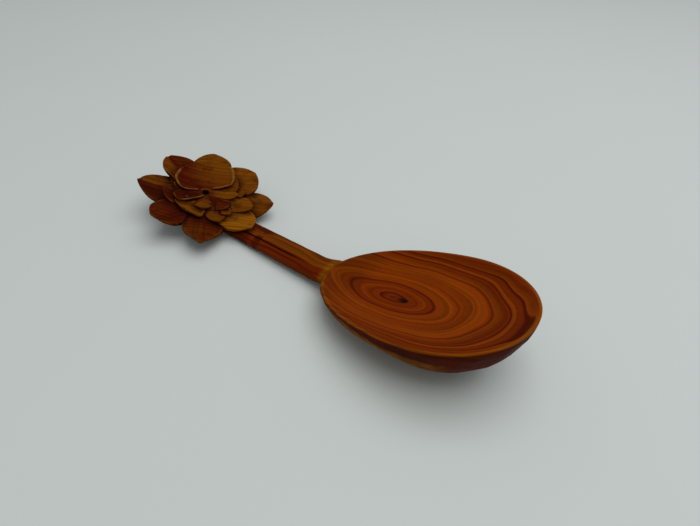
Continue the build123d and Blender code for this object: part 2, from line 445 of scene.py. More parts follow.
def mesh_piece(name, points, faces, material, sharp_angle):
    """An object made of these points and faces."""
    mesh = bpy.data.meshes.new(name)
    mesh.from_pydata(points, [], faces)
    mesh.validate()
    mesh.materials.append(material)
    return add_piece(name, mesh, sharp_angle)


def mark_points(piece, name, values):
    """Gives each point of a piece a number, which its material reads under this name."""
    piece.data.attributes.new(name, "FLOAT", "POINT").data.foreach_set("value", values)


def settle(piece, node):
    """Makes a finished piece stand for its solid."""
    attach(piece, BODY)
    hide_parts(node)


def ring_faces(rings, count, closed_start, closed_end):
    """Faces between successive rings of points, with a middle point at either end where one is given."""
    faces = []
    for ring in range(rings - 1):
        for step in range(count):
            here = ring * count + step
            side = ring * count + (step + 1) % count
            faces.append((here, side, side + count, here + count))
    if closed_start is not None:
        faces += [(closed_start, (step + 1) % count, step) for step in range(count)]
    if closed_end is not None:
        first = (rings - 1) * count
        faces += [(closed_end, first + step, first + (step + 1) % count) for step in range(count)]
    return faces


def between(start, end, part):
    return start + (end - start) * part


class BowlShape:
    """The bowl's surfaces as formulas, in metres."""

    def __init__(self, settings):
        self.set = settings
        self.half = settings.rim_breadth / 2
        self.tip_reach = settings.rim_length - settings.widest_at
        along = Vector((cos(settings.pitch), 0, sin(settings.pitch)))
        self.centre = Vector((NECK_X, NECK_Y, settings.neck_height)) + along * settings.widest_at
        self.from_centre = settings.hollow_depth + settings.hollow_lift
        self.swell = 1 / (1 - (settings.hollow_lift / self.from_centre) ** 2) ** 0.5

    def on_rim_plane(self, turn, inset, height, part=1.0):
        """A point by its turn about the widest line's middle and its height above the rim's plane.

        inset is its distance from the rim's outer edge, and part how far out from the middle it lies.
        """
        tip = self.tip_reach if cos(turn) > 0 else self.set.widest_at
        ahead = (tip - inset) * cos(turn) * part
        side = (self.half - inset) * sin(turn) * part
        return self.tilted(self.centre, self.set.pitch, ahead, side, height)

    @staticmethod
    def tilted(origin, pitch, ahead, side, height):
        """A point given on axes that are tilted up towards the tip."""
        return origin + Vector(
            (ahead * cos(pitch) - height * sin(pitch), side, ahead * sin(pitch) + height * cos(pitch))
        )

    def hollow(self, turn, part):
        """A point of the hollow, from its middle (part 0) to the rim's inner edge (part 1)."""
        height = self.set.hollow_lift - self.from_centre * (1 - (part / self.swell) ** 2) ** 0.5
        return self.on_rim_plane(turn, self.set.rim_width, height, part)

    def wall(self, turn, dive):
        """A point of the outside, from the rim (dive 0) to the foot (dive a quarter turn)."""
        sunk = sin(dive)
        left_over = max(cos(dive), 0.0)
        spread = left_over**self.set.wall_curve
        neck_spread = left_over**self.set.neck_curve
        origin = Vector(
            (
                between(self.centre.x, NECK_X + self.set.foot_at, sunk),
                NECK_Y,
                between(self.centre.z, -self.set.foot_trim, sunk),
            )
        )
        if cos(turn) > 0:
            reach = between(self.set.foot_tip_reach, self.tip_reach, spread)
        else:
            reach = between(self.set.foot_neck_reach, self.set.widest_at, neck_spread)
        half = between(self.set.foot_breadth / 2, self.half, spread)
        pitch = self.set.pitch * (1 - sunk)
        point = self.tilted(origin, pitch, reach * cos(turn), half * sin(turn), 0)
        point.z = max(point.z, 0.0)
        return point

    def wall_normal(self, turn, dive):
        """Which way the outside faces, from a small step each way."""
        step = 0.01
        along = self.wall(turn + step, dive) - self.wall(turn - step, dive)
        down = self.wall(turn, dive + step) - self.wall(turn, max(dive - step, 0.0))
        return down.cross(along).normalized()


class SPOON_OT_bowl(bpy.types.Operator):
    """Carves the bowl: a smooth hollow, a worn rim and a knife-cut outside"""

    bl_idname = "spoon.bowl"
    bl_label = "Bowl"

    # Rings of points, which close up a little towards the end of the hollow and of the wall
    around = 288
    hollow_rings = 56
    hollow_end = 0.985
    rim_parts = (0.06, 0.2, 0.4, 0.6, 0.8, 0.94)
    plain_rim_rings = 2
    wall_rings = 54
    closing_up = 0.9
    sharp = radians(40)

    # Where the wall begins, where its facing is taken for the rim, and the last place where it is sure
    first_dive = radians(2.2)
    rim_dive = radians(4)
    last_dive = radians(86)

    # Rows of facets, as degrees below the rim and number, and how unevenly they are cut
    facet_rows = ((13, 30), (31, 27), (50, 22), (68, 15))
    facet_shift = 0.25
    facet_lean = 5
    facet_depths = (0.5, 1.3)
    facet_facing = 0.8

    def execute(self, context):
        settings = context.scene.spoon_bowl
        shape = BowlShape(settings)
        turns = [-2 * pi * step / self.around for step in range(self.around)]
        points = []
        for ring in range(1, self.hollow_rings + 1):
            part = self.hollow_end * (ring / self.hollow_rings) ** self.closing_up
            points += [shape.hollow(turn, part) for turn in turns]
        rim_start = len(points)
        normals = []
        for part in self.rim_parts:
            crown = -settings.rim_crown * abs(2 * part - 1) ** 3
            inset = settings.rim_width * (1 - part)
            points += [shape.on_rim_plane(turn, inset, crown) for turn in turns]
            normals += [shape.wall_normal(turn, self.rim_dive) for turn in turns]
        wall_start = len(points)
        for ring in range(self.wall_rings):
            part = (ring / (self.wall_rings - 1)) ** self.closing_up
            dive = between(self.first_dive, pi / 2, part)
            points += [shape.wall(turn, dive) for turn in turns]
            normals += [shape.wall_normal(turn, min(dive, self.last_dive)) for turn in turns]
        self.cut_facets(shape, points, rim_start, normals)
        rings = len(points) // self.around
        points.append(shape.hollow(0, 0))
        points.append(Vector((NECK_X + settings.foot_at, NECK_Y, 0)))
        faces = ring_faces(rings, self.around, len(points) - 2, len(points) - 1)
        piece = mesh_piece("bowl_carving", points, faces, bowl_wood(), self.sharp)
        pale_start = rim_start + self.plain_rim_rings * self.around
        spans = {"rim": (pale_start, wall_start), "wall": (wall_start, len(points) - 2)}
        for name, (first, last) in spans.items():
            mark_points(piece, name, [float(first <= index < last) for index in range(len(points))])
        settle(piece, "bowl")
        return {"FINISHED"}

    def cut_facets(self, shape, points, first, normals):
        """Presses the points of the rim and the wall down onto flat knife cuts, scattered in rows."""
        draw = Random(shape.set.facet_seed)
        planes = []
        for dive, count in self.facet_rows:
            offset = draw.random()
            for step in range(count):
                turn = 2 * pi * (step + offset + draw.uniform(-self.facet_shift, self.facet_shift)) / count
                lean = radians(dive + draw.uniform(-self.facet_lean, self.facet_lean))
                normal = shape.wall_normal(turn, lean)
                depth = shape.set.facet_depth * draw.uniform(*self.facet_depths)
                planes.append((shape.wall(turn, lean) - normal * depth, normal))
        least_lean = self.facet_facing
        for index, normal in enumerate(normals):
            point = points[first + index]
            press = 0.0
            for on_plane, facing in planes:
                lean = normal.dot(facing)
                if lean > least_lean:
                    press = max(press, (point - on_plane).dot(facing) / lean)
            point -= normal * press
            point.z = max(point.z, 0.0)


# Where the pith comes out in the bowl's hollow, in millimetres from the neck
PITH_EXIT = (37.68, 0.75, 15.33)

# Marks on the bowl, in millimetres from the pith's exit: where each begins and where it is full
TAIL_NECK_END = (-17.0, -1.0)
TAIL_TIP_END = (5.0, 2.0)
TAIL_SIDE = (1.6, 0.2)
SPOT_AHEAD = 2.6
SPOT_SQUEEZE = 0.55
SPOT_RADIUS = (2.0, 0.6)
NECK_SHADE = (-12.0, -32.0)
DARK_WALL = (-14.0, 12.0)
BAND_TILT = 0.12
BAND_HEIGHT = (2.2, 3.6)
BAND_START = (-30.0, -10.0)
LOW_HEIGHT = (3.4, 1.4)
LOW_END = (42.0, 24.0)
RAGGED_ENDS = 6.0


def bowl_wood():
    """Rings that close in ovals round the pith, which comes out in the hollow."""
    rings = [
        (0.0, "russet"), (0.9, "amber"), (1.5, "russet"), (2.6, "ring_line"), (3.0, "amber"), (4.7, "russet"),
        (5.1, "amber"), (7.4, "amber"), (8.3, "russet"), (8.6, "ring_line"), (8.9, "russet"), (9.5, "amber"),
        (12.0, "honey"), (14.5, "amber"), (18.8, "honey"), (21.5, "amber"), (21.8, "russet"), (22.1, "honey"),
        (24.2, "amber"), (25.2, "russet"), (25.45, "ring_line"), (25.65, "ring_line"), (25.8, "honey"),
        (27.0, "amber"), (27.75, "russet"), (28.0, "ring_line"), (28.2, "ring_line"), (28.35, "honey"),
        (29.75, "russet"), (29.95, "amber"), (33.0, "russet"),
    ]
    return wood_material(
        "ringed_bowl_wood", PITH_EXIT, (0.0, 0.757), rings, bowl_stain, squeeze=0.736, bend=0.561
    )


def bowl_stain(bench, place, tone):
    """The pith spot and its faint tail, the shaded neck, the pale rim, and the wall's dark and pale bands."""
    settings = bpy.context.scene.spoon_wood
    x, y, z = bench.axes(bench.vector("SUBTRACT", place, from_neck(PITH_EXIT)))
    uneven = (bench.cloud(place, 0.5) - 0.5) * 2.0
    ragged = x + uneven * RAGGED_ENDS

    stray = (y + uneven).math("ABSOLUTE")
    tail = bench.smooth(x, *TAIL_NECK_END) * bench.smooth(x, *TAIL_TIP_END) * bench.smooth(stray, *TAIL_SIDE)
    tone = bench.blend(tail * 0.35, tone, settings.pith)
    ahead = (x - SPOT_AHEAD + uneven) * SPOT_SQUEEZE
    spot = bench.smooth((ahead * ahead + stray * stray).math("SQRT"), *SPOT_RADIUS)
    tone = bench.blend(spot * 0.9, tone, settings.pith)
    tone = bench.blend(bench.smooth(x, *NECK_SHADE) * 0.7, tone, settings.neck_shade, "MULTIPLY")
    tone = bench.blend(bench.mark("rim") * 0.45, tone, settings.straw)

    wall = bench.mark("wall")
    banded = z - x * tan(radians(RIM_PITCH)) + x * BAND_TILT + uneven
    band = bench.smooth(banded, *BAND_HEIGHT) * bench.smooth(x, *BAND_START)
    dark = (0.35 + bench.smooth(ragged, *DARK_WALL) * 0.5).math("MAXIMUM", band)
    tone = bench.blend(wall * dark, tone, settings.ring_line)
    low = bench.smooth(banded, *LOW_HEIGHT) * bench.smooth(ragged, *LOW_END)
    return bench.blend(wall * low * 0.8, tone, settings.straw)


class SPOON_OT_stem(bpy.types.Operator):
    """Whittles the stem: eight worn facets, a cut under the near top edge and a flare at the neck"""

    bl_idname = "spoon.stem"
    bl_label = "Stem"

    stations = 150
    edge_steps = 3
    sharp = radians(28)
    sizes = (
        "depth", "top_near", "top_far", "side_near", "side_far", "foot_near", "foot_far", "shoulder_drop",
        "keel_rise",
    )

    # The cut: its places across the near slanting facet, and where it ends and fades, from the neck
    groove_shares = (0.16, 0.24, 0.38)
    groove_dips = (0.0, 1.0, 0.0)
    groove_start = 66 * MM
    groove_start_fade = 8 * MM
    groove_end = 10 * MM
    groove_end_fade = 14 * MM

    # Noise that the knife's wobble is read from: its rate along the stem, and its rows
    wobble_rate = 90
    wobble_row = 3.7
    wobble_layer = 1.3

    def execute(self, context):
        settings = context.scene.spoon_stem
        flower = context.scene.spoon_flower
        top = context.scene.spoon_bowl.neck_height - settings.top_drop
        start = -flower.from_neck + flower.core_radius / 2
        noise.seed_set(settings.wobble_seed)
        points = []
        recess_shade = []
        for station in range(self.stations):
            x = between(start, settings.run_in, station / (self.stations - 1))
            outline, depths = self.section(settings, flower, x, top)
            points += outline
            recess_shade += depths
        count = len(points) // self.stations
        points.append(sum(points[:count], Vector()) / count)
        points.append(sum(points[-count - 1 : -1], Vector()) / count)
        faces = ring_faces(self.stations, count, len(points) - 2, len(points) - 1)
        piece = mesh_piece("stem_carving", points, faces, stem_wood(), self.sharp)
        # The bottom of the groove carries its painted shade
        mark_points(piece, "recess_shade", recess_shade + [0.0, 0.0])
        settle(piece, "stem")
        return {"FINISHED"}

    def section(self, settings, flower, x, top):
        """The stem's outline at x before or past the neck, and how much painted shade each point takes as the
        groove's bottom.
        """
        along = max(0.0, -x / flower.from_neck)
        size = {name: between(*getattr(settings, name), along) for name in self.sizes}
        flare = max(0.0, (x + settings.flare_start) / (settings.flare_start + settings.flare_run_in))
        spread = between(1, settings.flare_spread, flare * flare)
        low = between(1, spread, settings.flare_low)
        top -= settings.fall * along + max(0.0, x) * settings.run_in_dip
        bottom = top - size["depth"] + settings.flare_lift * flare
        shoulder = top - size["shoulder_drop"]
        keel = bottom + size["keel_rise"]
        corners = [
            (-size["top_near"] * spread, top),
            (-size["side_near"] * spread, shoulder),
            (-size["side_near"] * low, keel),
            (-size["foot_near"] * low, bottom),
            (size["foot_far"] * low, bottom),
            (size["side_far"] * low, keel),
            (size["side_far"] * spread, shoulder),
            (size["top_far"] * spread, top),
        ]
        corners = [Vector(corner) for corner in corners]
        for index, corner in enumerate(corners):
            where = Vector((x * self.wobble_rate, index * self.wobble_row, self.wobble_layer))
            drift = noise.noise_vector(where)
            corner += Vector((drift.x, min(drift.y, 0.0))) * settings.wobble
        outline = self.rounded(corners, settings.edge_round)
        at_end = (-x - self.groove_end) / self.groove_end_fade
        at_start = (x + self.groove_start) / self.groove_start_fade
        fade = max(0.0, min(1.0, at_end, at_start))
        inward = (corners[0] - corners[1]).orthogonal().normalized()
        if inward.y > 0:
            inward = -inward
        cut = []
        for place, dip in zip(self.groove_shares, self.groove_dips):
            cut.append(corners[0].lerp(corners[1], place) + inward * settings.groove_depth * fade * dip)
        slot = self.edge_steps + 1
        outline[slot:slot] = cut
        recess_shade = [0.0] * len(outline)
        recess_shade[slot + 1] = fade
        axis = NECK_Y + settings.drift * along
        return [Vector((NECK_X + x, axis + y, z)) for y, z in outline], recess_shade

    def rounded(self, corners, radius):
        """The outline with each of its corners rounded."""
        outline = []
        for index, corner in enumerate(corners):
            before = corners[index - 1] - corner
            after = corners[(index + 1) % len(corners)] - corner
            start = corner + before.normalized() * radius
            end = corner + after.normalized() * radius
            for step in range(self.edge_steps + 1):
                part = step / self.edge_steps
                outline.append(start.lerp(corner, part).lerp(corner.lerp(end, part), part))
        return outline


# Painted light on the stem, in millimetres from the neck: a painted highlight at the pale end, and painted
# shadow under the far edge, in the hollow and below the flower; where each begins and where it is full
PALE_END = (-4.5, -1.5)
FAR_UNDERCUT_SHADE = (-39.0, -45.0)
FAR_UNDERCUT_SHADE_SIDE = (5.2, 6.6)
NOTCH_AT = -46.5
NOTCH_HALF = (2.6, 1.0)
NOTCH_SIDE = (3.4, 2.4)
SHADE_BELOW_FLOWER = (-50.0, -54.0)


def stem_wood():
    """Long grain: light on top and redder down the near side."""
    rings = [
        (0.0, "tan"), (2.5, "umber"), (3.5, "tan"), (5.0, "umber"), (6.2, "tan"), (9.4, "tan"),
        (10.6, "russet"), (11.6, "amber"), (12.6, "russet"), (13.4, "ring_line"), (14.2, "russet"),
        (16.0, "amber"), (18.0, "russet"), (24.0, "amber"),
    ]
    return wood_material("long_grained_stem_wood", (-40.0, 10.0, 13.0), (-0.07, 0.08), rings, stem_painted_light)


def stem_painted_light(bench, place, tone):
    """Painted light on the stem: a painted highlight on the pale end at the bowl, painted shadow at the
    undercuts where the stem goes under the flower, and painted shade in the dark cut.
    """
    settings = bpy.context.scene.spoon_wood
    x, y, _ = bench.axes(bench.vector("SUBTRACT", place, from_neck((0.0, 0.0, 0.0))))
    # Painted highlight: the end by the bowl is paler where it faces the light
    tone = bench.blend(bench.smooth(x, *PALE_END) * 0.6, tone, settings.straw)
    stray = (bench.cloud(place, 0.3) - 0.5) * 4.0
    # Painted shadow under the far top edge and in the hollow where the stem goes under the flower, and
    # painted shade below the flower
    far = bench.smooth(x, *FAR_UNDERCUT_SHADE) * bench.smooth(y + stray, *FAR_UNDERCUT_SHADE_SIDE)
    from_notch = (x - NOTCH_AT + stray).math("ABSOLUTE")
    notch_shade = bench.smooth(from_notch, *NOTCH_HALF) * bench.smooth(y, *NOTCH_SIDE)
    under = far.math("MAXIMUM", notch_shade).math("MAXIMUM", bench.smooth(x, *SHADE_BELOW_FLOWER))
    tone = bench.blend(under * 0.9, tone, settings.ring_line)
    # Painted shade in the cut under the near top edge
    return bench.blend(bench.mark("recess_shade") * 0.9, tone, settings.pith)


def flower_frame(settings):
    """From the flower's own axes to the spoon's."""
    place = Matrix.Translation((NECK_X - settings.from_neck, NECK_Y + settings.side, settings.mouth_height))
    return place @ Matrix.Rotation(settings.pitch, 4, "Y")


# Marks on the flower, with the painted crease shade, hole shade and lip highlight among them, where each
# begins and is full: in metres from the hole, in its radii, and as shares
CREASE_SHADE_SPREAD = (5.0 * MM, 14.0 * MM)
HOLE_SHADE = (1.8, 1.15)
BLOTCH_SCALE = 0.17
BLOTCH = (0.55, 0.72)
# Painted highlight on the raised lips: the lip heights over which it grows
WORN_LIP = (0.3, 0.9)


def flower_wood():
    """The flower's wood, pale where it is cut along the grain, with its painted light and shade, made the
    first time it is asked for.
    """
    name = "carved_flower_wood"
    rings = [(0.0, "straw"), (60.0, "straw")]
    made = bpy.data.materials.get(name)
    return made or wood_material(name, (-76.0, 47.0, 28.0), (0.6, 0.0), rings, petal_stain_and_light)


def petal_stain_and_light(bench, place, tone):
    """Reddens the cuts across the grain with painted shade on the sides turned from the light, darkens
    streaks, paints shade in the creases and the hole, and paints highlights on the raised lips.

    All but the blotches and the hole are read from the points of the petals.
    """
    settings = bpy.context.scene.spoon_wood
    flower = bpy.context.scene.spoon_flower
    mouth = flower_frame(flower) @ Vector() / MM
    x, y, _ = bench.axes(bench.vector("SUBTRACT", place, tuple(mouth)))
    from_axis = (x * x + y * y).math("SQRT") * MM
    across = bench.mark("grain_and_side_shade")
    crease_shade_spread = 0.35 + bench.smooth(from_axis, *CREASE_SHADE_SPREAD) * 0.6
    blotch = bench.smooth(bench.cloud(place, BLOTCH_SCALE), *BLOTCH)
    worn = bench.smooth(bench.mark("worn"), *WORN_LIP)
    # The grain across each side, with painted shade on the sides turned from the light
    tone = bench.blend(across, tone, settings.ring_line)
    tone = bench.blend(bench.mark("streak") * across, tone, settings.cut_line_and_crease_shade)
    # Painted shade in the creases between petals, fuller away from the hole
    tone = bench.blend(bench.mark("recess_shade") * crease_shade_spread, tone, settings.cut_line_and_crease_shade)
    tone = bench.blend(blotch * 0.4, tone, settings.cut_line_and_crease_shade)
    # Painted highlight: the raised lips are made paler where light catches them
    tone = bench.blend(worn * 0.75, tone, settings.worn_edge_and_lip_highlight)
    # Painted shade: the drilled hole is painted near black
    hole = bench.smooth(from_axis, *(flower.hole_radius * radii for radii in HOLE_SHADE))
    return bench.blend(hole, tone, settings.pith)


class SPOON_OT_seat(bpy.types.Operator):
    """Whittles the seat under the flower and the bud round the drilled hole"""

    bl_idname = "spoon.seat"
    bl_label = "Flower Seat and Bud"

    around = 144
    facets = 13
    grain = 0.7
    sharp = radians(25)
    worn_edge_and_lip_highlight = 0.5 * MM

    # The seat tapers over half the way to its far foot, in even steps
    taper_steps = 15
    taper_share = 0.5

    # The bud's top: how it starts at the hole, then shares of its radius with heights
    bud_start = (0.2 * MM, -0.6 * MM)
    bud_top = ((0.6, -0.5 * MM), (0.8, -0.7 * MM), (1.0, -1.0 * MM))

    def execute(self, context):
        settings = context.scene.spoon_flower
        seat = [
            (settings.core_radius, settings.core_top),
            (settings.core_radius, settings.seat_top),
            (settings.seat_radius - self.worn_edge_and_lip_highlight, settings.seat_top),
            (settings.seat_radius, settings.seat_top - self.worn_edge_and_lip_highlight),
        ]
        for step in range(self.taper_steps + 1):
            part = step / self.taper_steps * self.taper_share
            radius = between(settings.seat_radius, settings.seat_foot_radius, part)
            seat.append((radius, between(settings.seat_shoulder, -settings.seat_foot_drop, part)))
        self.turned("flower_seat_carving", "flower_seat", seat, settings, settings.facet_depth)
        bud = [(settings.hole_radius + self.bud_start[0], self.bud_start[1])]
        bud += [(settings.bud_radius * part, height) for part, height in self.bud_top]
        bud.append((settings.bud_radius, settings.core_top))
        self.turned("flower_bud_carving", "flower_bud", bud, settings, 0.0)
        return {"FINISHED"}

    def turned(self, name, node, outline, settings, facet_depth):
        """A ring about the drilled hole: an outline of radius and height, cut off at the floor."""
        place = flower_frame(settings)
        middle = place @ Vector()
        lean = place.to_3x3() @ Vector((0, 0, 1))
        turns = [2 * pi * step / self.around for step in range(self.around)]
        points = []
        for radius, height in outline:
            for turn in turns:
                swing = (turn * self.facets / (2 * pi)) % 1 - 0.5
                flat = facet_depth * (1 - 4 * swing * swing)
                point = place @ Vector(((radius - flat) * cos(turn), (radius - flat) * sin(turn), height))
                if point.z < 0:
                    point -= lean * (point.z / lean.z)
                points.append(point)
        for _, height in (outline[-1], outline[0]):
            for turn in turns:
                x = settings.hole_radius * cos(turn)
                z = middle.z - x * lean.x / lean.z + height / lean.z
                y = settings.hole_radius * sin(turn)
                points.append(Vector((middle.x + x, middle.y + y, max(z, 0.0))))
        rings = len(points) // self.around
        faces = ring_faces(rings, self.around, None, None)
        last = (rings - 1) * self.around
        for step in range(self.around):
            side = (step + 1) % self.around
            faces.append((last + step, last + side, side, step))
        piece = mesh_piece(name, points, [face[::-1] for face in faces], flower_wood(), self.sharp)
        mark_points(piece, "grain_and_side_shade", [self.grain] * len(points))
        settle(piece, node)


# Sizes of a petal: its own, then those of its tier, of which some are plain factors
OWN_SIZES = (
    "Azimuth", "Reach", "Left half width", "Right half width", "Left bluntness", "Right bluntness", "Tip top",
    "Ridge", "Cup", "Left lip", "Right lip", "Left grain", "Right grain", "Root top",
)
TIER_SIZES = (
    "Root radius", "Root share", "Root thickness", "Tip thickness", "Sag", "Tip lip", "Root lip", "Streak",
    "Hand",
)
FACTORS = ("Root share", "Streak", "Hand", "Left bluntness", "Right bluntness", "Left grain", "Right grain")

# Points of the block that a petal is bent from, and how near two of them are joined
PETAL_BLOCK = {"Size": (1, 1, 1), "Vertices X": 52, "Vertices Y": 45, "Vertices Z": 3}
JOIN_WITHIN = 0.002 * MM

# Control points of a petal's outline: place along it and breadth, with what bluntness adds to each
SWELL_AT, SWELL = 0.45, 1.25
SHOULDER_AT, BLUNT_SHIFT = 0.70, 0.30
SHOULDER, BLUNT_GROWTH = 0.75, 0.5

# Top of a petal: where its forms begin and where they are full, as parts of its length or half width
TIP_TAPER = (0.0, 0.06)
ROOT_GROWTH = (0.0, 0.35)
TIP_FALL = (1.0, 0.55)
RIDGE_AT_TIP = 0.35
CUP_LEVEL = 0.4
LIP_FADE = (0.95, 0.5)
TIP_RIM = (0.8, 0.97)
ROOT_RIM = (0.09, 0.04)
ROOT_RIM_SIDES = (0.1, 0.4)
LIP_INSIDE = 2.0 * MM
LIP_CREST = 0.8 * MM
THINNING = 0.8
EDGE_THINNING = 0.45

# The carver's hand: noise rates, and what keeps one petal's noise apart from another's
HAND_RATE = 2.2
HAND_SIDES = 5.0
GOUGE_SCALE = 0.2
FLUTE_ALONG, FLUTE_ACROSS = 0.7, 2.6
CARVING_GAIN = 1.6
APART, FLUTES_APART = 9, 7

# Grain of a petal: where it turns pale or dark, and by how much; the pale edges and tip are painted
# highlight, the dark root and valleys painted shade
CREASE_DEPTHS = (0.2 * MM, 1.2 * MM)
PALE_SIDES = (0.86, 1.0)
PALE_TIP = (0.93, 1.0)
PALE_SHARE = 0.28
DARK_ROOT = (0.7, 0.0)
DARK_ROOT_SHARE = 0.25
VALLEY_SIDES = (0.3, 0.0)
VALLEY_DEPTHS = (0.5 * MM, 2.0 * MM)
VALLEY_SHARE = 0.4
STREAK_SCALE = 0.8
STREAK_EDGES = (0.48, 0.68)


def petal_tree():
    """Node tree that shapes one petal on the flower's own axes, marks its wood and its painted light and
    shade, and sets it in place.

    A block of cells is bent: u runs from the root to the tip, v across from -1 on the right to 1 on the left,
    and the block's height chooses the top, the middle or the underside.
    """
    tree = bpy.data.node_groups.new("carved_petal", "GeometryNodeTree")
    kinds = {"Geometry": "Geometry", "Mouth": "Vector", "Wood": "Material"}
    kinds.update({name: "Float" for name in (*OWN_SIZES, *TIER_SIZES, "Carving", "Pitch")})
    for name, kind in kinds.items():
        tree.interface.new_socket(name, in_out="INPUT", socket_type="NodeSocket" + kind)
    tree.interface.new_socket("Geometry", in_out="OUTPUT", socket_type="NodeSocketGeometry")
    bench = Bench(tree)
    given = tree.nodes.new("NodeGroupInput")
    size = {socket.name: Wire(bench, socket) for socket in given.outputs if socket.name}

    block = bench.node("GeometryNodeMeshCube", None, PETAL_BLOCK)
    x, y, z = bench.axes(bench.node("GeometryNodeInputPosition"))
    u = x + 0.5
    v = y * 2
    side = v.math("ABSOLUTE")
    is_left = v.math("GREATER_THAN", 0.0)

    # Outline: the curve of each side, with a control point for its swell and one for its shoulder
    rest = 1 - u
    first = rest * rest * u * 3
    second = rest * u * u * 3
    third = u * u * u
    half = is_left * size["Left half width"] + (1 - is_left) * size["Right half width"]
    blunt = is_left * size["Left bluntness"] + (1 - is_left) * size["Right bluntness"]
    mean_blunt = (size["Left bluntness"] + size["Right bluntness"]) * 0.5
    span = size["Reach"] - size["Root radius"]
    edge_at = first * SWELL_AT + second * (SHOULDER_AT + blunt * BLUNT_SHIFT) + third
    spine_at = first * SWELL_AT + second * (SHOULDER_AT + mean_blunt * BLUNT_SHIFT) + third
    ahead = size["Root radius"] + span * (edge_at * side + spine_at * (1 - side))
    root = rest * rest * rest * size["Root share"]
    breadth = half * (root + first * SWELL + second * (SHOULDER + blunt * BLUNT_GROWTH))
    apart = size["Azimuth"] * APART
    layer = size["Reach"] / MM
    hand = bench.cloud(bench.combine(u * HAND_RATE + apart, is_left * HAND_SIDES, layer), 1.0, 1.0)
    across = v * breadth * (1 + (hand - 0.5) * size["Hand"])

    # Heights: a sagging top with a ridge, a cupped section and a raised lip, over an underside
    part = (ahead - size["Root radius"]) / span
    rise = size["Tip top"] - size["Root top"]
    top = size["Root top"] + rise * part - size["Sag"] * part * (1 - part) * 4
    taper = bench.smooth(rest, *TIP_TAPER)
    bow = side * taper
    grown = bench.smooth(part + size["Root lip"] / MM, *ROOT_GROWTH)
    fall = bench.smooth(part, *TIP_FALL)
    top = top - size["Ridge"] * bow * grown * (RIDGE_AT_TIP + fall * (1 - RIDGE_AT_TIP))
    top = top + size["Cup"] * (bow * bow - CUP_LEVEL) * grown * fall
    lip_span = (1 - LIP_INSIDE / half, 1 - LIP_CREST / half)
    left_lip = bench.smooth(v, *lip_span) * size["Left lip"]
    right_lip = bench.smooth(-v, *lip_span) * size["Right lip"]
    tip_lip = bench.smooth(part, *TIP_RIM) * size["Tip lip"]
    root_lip = bench.smooth(part, *ROOT_RIM) * bench.smooth(side, *ROOT_RIM_SIDES) * size["Root lip"]
    lip = left_lip.math("MAXIMUM", right_lip) * bench.smooth(part, *LIP_FADE)
    lip = lip.math("MAXIMUM", tip_lip).math("MAXIMUM", root_lip)
    thinned = size["Tip thickness"] - size["Root thickness"]
    thick = size["Root thickness"] + thinned * part**THINNING
    thick = thick * (1 - bow**4.0 * EDGE_THINNING)
    under = z.math("LESS_THAN", 0.0) * thick + z.math("COMPARE", 0.0, 0.1) * thick * 0.5
    height = top + lip - under

    # Place: turned to the petal's azimuth, roughened by the gouge and leaned with the flower
    turn_cos = size["Azimuth"].math("COSINE")
    turn_sin = size["Azimuth"].math("SINE")
    local = bench.combine(ahead * turn_cos - across * turn_sin, ahead * turn_sin + across * turn_cos, height)
    gouge = bench.cloud(bench.scaled(local, 1 / MM), GOUGE_SCALE, 1.0)
    lane = v * taper * FLUTE_ACROSS + size["Azimuth"] * FLUTES_APART
    flute = bench.cloud(bench.combine(part * FLUTE_ALONG, lane, layer), 1.0, 1.0)
    uneven = bench.combine(0.0, 0.0, (gouge + flute - 1.0) * size["Carving"] * CARVING_GAIN)
    local = bench.vector("ADD", local, uneven)
    leaned = bench.node(
        "ShaderNodeVectorRotate", {"rotation_type": "Y_AXIS"}, {"Vector": local, "Angle": size["Pitch"]}
    )
    place = bench.vector("ADD", leaned, size["Mouth"])

    # Wood: the grain of each side, darkened as painted shade on the side turned from the light, the raised
    # lips with their painted highlight, and the streaks are marked before the block is bent
    soft = 0.9 - bench.smooth(size["Ridge"].math("ABSOLUTE"), *CREASE_DEPTHS) * 0.8
    on_left = bench.smooth(v, -soft, soft)
    # Painted highlight: paler along the edges and at the tip
    pale = bench.smooth(side, *PALE_SIDES).math("MAXIMUM", bench.smooth(part, *PALE_TIP))
    grain = (size["Left grain"] * on_left + size["Right grain"] * (1 - on_left)) * (1 - pale * PALE_SHARE)
    # Painted shade: darker towards the root, in the crease under the petals above
    grain = grain + bench.smooth(part, *DARK_ROOT) * DARK_ROOT_SHARE
    # Painted shade in the valley of a petal whose ridge sinks
    valley = bench.smooth(side, *VALLEY_SIDES) * bench.smooth(-size["Ridge"], *VALLEY_DEPTHS)
    grain = grain + valley * VALLEY_SHARE
    streak_at = bench.combine(across / MM + apart, part * 0.8, 0.0)
    streak = bench.smooth(bench.cloud(streak_at, STREAK_SCALE), *STREAK_EDGES) * size["Streak"]
    marks = {"grain_and_side_shade": grain, "worn": lip / MM * z.math("GREATER_THAN", 0.4), "streak": streak}
    marked = block
    for name, value in marks.items():
        marked = bench.node(
            "GeometryNodeStoreNamedAttribute",
            {"data_type": "FLOAT", "domain": "POINT"},
            {"Geometry": marked, "Name": name, "Value": value},
        )
    shaped = bench.node("GeometryNodeSetPosition", None, {"Geometry": marked, "Position": place})
    closed = bench.node("GeometryNodeMergeByDistance", None, {"Geometry": shaped, "Distance": JOIN_WITHIN})
    whole = bench.node("GeometryNodeRealizeInstances", None, {"Geometry": closed})
    dressed = bench.node("GeometryNodeSetMaterial", None, {"Geometry": whole, "Material": size["Wood"]})
    bench.node("NodeGroupOutput", None, {"Geometry": dressed})
    return tree


def petal_rows(*rows):
    """Each petal's own sizes in degrees, millimetres and factors; the grain is 0 along it and 1 across it,
    and a side's grain also holds painted shade where that side is turned from the light.
    """
    return [dict(zip(OWN_SIZES, row)) for row in rows]


